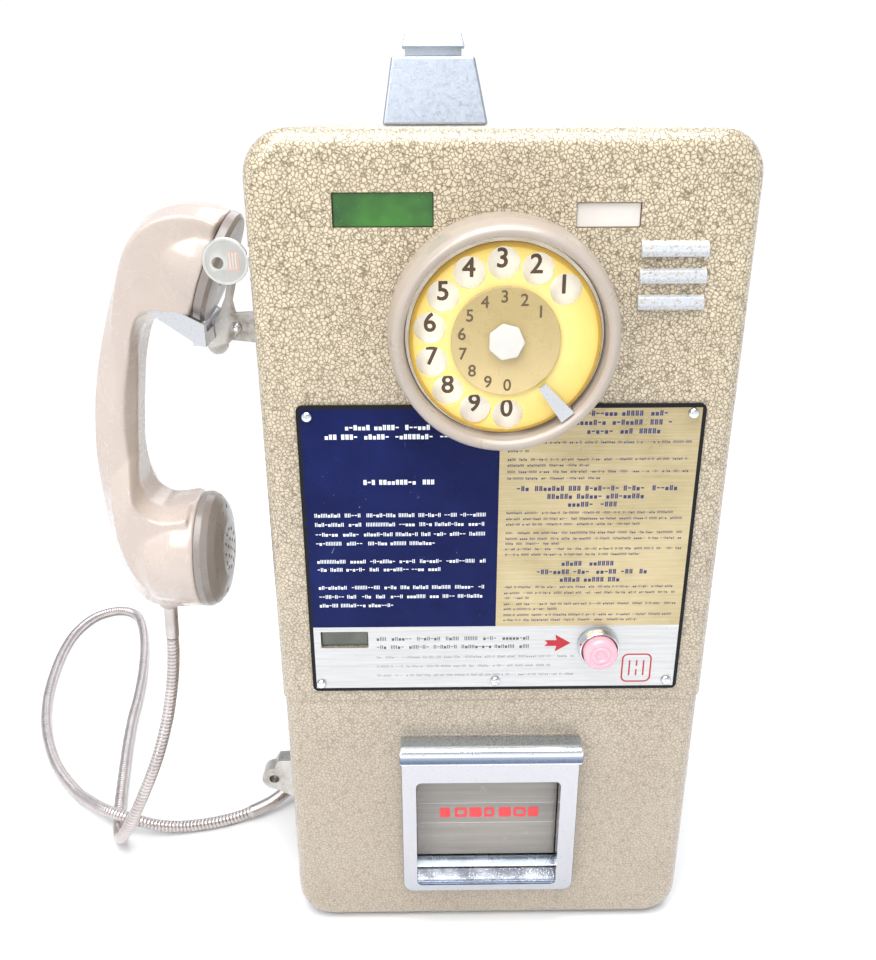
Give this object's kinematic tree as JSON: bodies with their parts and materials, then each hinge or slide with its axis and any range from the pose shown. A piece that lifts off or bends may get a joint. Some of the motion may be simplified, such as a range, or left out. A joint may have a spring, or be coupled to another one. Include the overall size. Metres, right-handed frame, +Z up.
{
  "type": "payphone",
  "caption": "Upright wall payphone in two hammered-enamel covers with rotary dial, side-hung handset on an armoured cord, token chute and token return cup.",
  "frame": {"origin": "centre of the base plate's underside, midway between the case's front and back faces", "axes": "+Z up the case, -Y out of the dial and front face, +X towards the user's right; the handset hangs on the -X side"},
  "size_m": [0.468, 0.3875, 0.472],
  "materials": {
    "case_enamel": "hammered enamel, satin",
    "zinc_steel": "zinc-plated sheet",
    "cast_aluminium": "cast and worn",
    "chrome": "bright plated, slightly pitted",
    "worn_steel": "worn steel",
    "greige_plastic": "semi-gloss",
    "handset_plastic": "gloss",
    "cap_plastic": "gloss",
    "amber_plastic": "clear amber",
    "dial_olive": "printed card",
    "white_plastic": "satin",
    "pink_plastic": "translucent",
    "grey_acrylic": "smoked acrylic",
    "green_acrylic": "tinted acrylic",
    "dark_glass": "tinted acrylic",
    "label_white": "paper behind acrylic",
    "printed_plate": "printed in three colour fields",
    "black_plastic": "moulded",
    "circuit_board": "laminate with components",
    "copper": "wound coil",
    "brass": "machined",
    "cord_armour": "strip-wound armour"
  },
  "bodies": {
    "chassis": {"back_plate": "zinc_steel", "base_plate": "zinc_steel", "mechanism_shelf": "zinc_steel", "left_frame": "zinc_steel", "right_frame": "zinc_steel", "hook_guard": "case_enamel", "hook_bracket": "zinc_steel", "hook_switch": "black_plastic", "token_channel": "brass", "token_selector": "cast_aluminium", "refund_solenoid": "copper", "return_microswitch": "black_plastic", "return_chute": "zinc_steel", "cash_box": "zinc_steel", "circuit_board": "circuit_board", "gland_plate": "case_enamel", "cord_gland": "worn_steel", "cord_sleeve": "cord_armour", "handset_cord": "cord_armour"},
    "upper_case": {"upper_cover": "case_enamel", "coin_chute": "cast_aluminium", "slot_head": "cast_aluminium", "instruction_plate": "printed_plate", "plate_screw_1": "chrome", "plate_screw_2": "chrome", "plate_screw_3": "chrome", "plate_screw_4": "chrome", "plate_screw_5": "chrome", "green_window": "green_acrylic", "label_window": "label_white", "token_window": "dark_glass", "button_collar": "chrome", "dial_bezel": "greige_plastic", "number_plate": "white_plastic", "finger_stop": "chrome", "dial_gear_case": "zinc_steel", "lock_body": "chrome"},
    "dial": {"finger_wheel": "amber_plastic", "centre_plate": "dial_olive", "dial_cap": "white_plastic", "dial_gear": "brass"},
    "dial_governor": {"governor": "brass"},
    "refund_button": {"return_button": "pink_plastic"},
    "cover_key": {"lock_plug": "brass", "lock_cam": "worn_steel", "key": "zinc_steel"},
    "lower_case": {"lower_cover": "case_enamel", "return_frame": "chrome", "return_cup": "chrome", "flap_pin": "worn_steel", "padlock_lug": "worn_steel"},
    "flap": {"return_flap": "grey_acrylic"},
    "hook": {"hook_lever": "worn_steel", "hook_fork": "chrome"},
    "handset": {"handset_handle": "handset_plastic", "ear_cap": "cap_plastic", "mouth_cap": "cap_plastic", "earpiece_capsule": "worn_steel", "microphone_capsule": "worn_steel", "cord_ferrule": "cord_armour"}
  },
  "joints": [
    {"name": "upper_cover_pull", "type": "slide", "parent": "chassis", "child": "upper_case", "axis": [0, -1, 0], "range_m": [0, 0.17]},
    {"name": "lower_cover_pull", "type": "slide", "parent": "chassis", "child": "lower_case", "axis": [0, -1, 0], "range_m": [0, 0.09]},
    {"name": "dial_turn", "type": "hinge", "parent": "upper_case", "child": "dial", "pos_m": [0, -0.1, 0.3493], "axis": [0, 1, 0], "range_deg": [0, 312], "stiffness_Nm_per_rad": 0.002},
    {"name": "governor_spin", "type": "hinge", "parent": "upper_case", "child": "dial_governor", "pos_m": [0, -0.08, 0.3743], "axis": [0, 1, 0], "range_deg": [-1248, 0]},
    {"name": "refund_button_press", "type": "slide", "parent": "upper_case", "child": "refund_button", "axis": [0, 1, 0], "range_m": [0, 0.005], "stiffness_N_per_m": 200},
    {"name": "cover_key_turn", "type": "hinge", "parent": "upper_case", "child": "cover_key", "pos_m": [-0.11, -0.0575, 0.3761], "axis": [-1, 0, 0], "range_deg": [0, 90]},
    {"name": "flap_swing", "type": "hinge", "parent": "lower_case", "child": "flap", "pos_m": [0, -0.0697, 0.1055], "axis": [1, 0, 0], "range_deg": [0, 38]},
    {"name": "handset_lift", "type": "slide", "parent": "chassis", "child": "handset", "axis": [-0.5, 0, 0.866], "range_m": [0, 0.05]},
    {"name": "hook_rise", "type": "hinge", "parent": "chassis", "child": "hook", "pos_m": [-0.074, -0.0155, 0.337], "axis": [0, 1, 0], "range_deg": [0, 8.1]}
  ],
  "couplings": [
    {"joint": "governor_spin", "follows": "dial_turn", "ratio": -4},
    {"joint": "hook_rise", "follows": "handset_lift", "rad_per_m": 2.79}
  ]
}
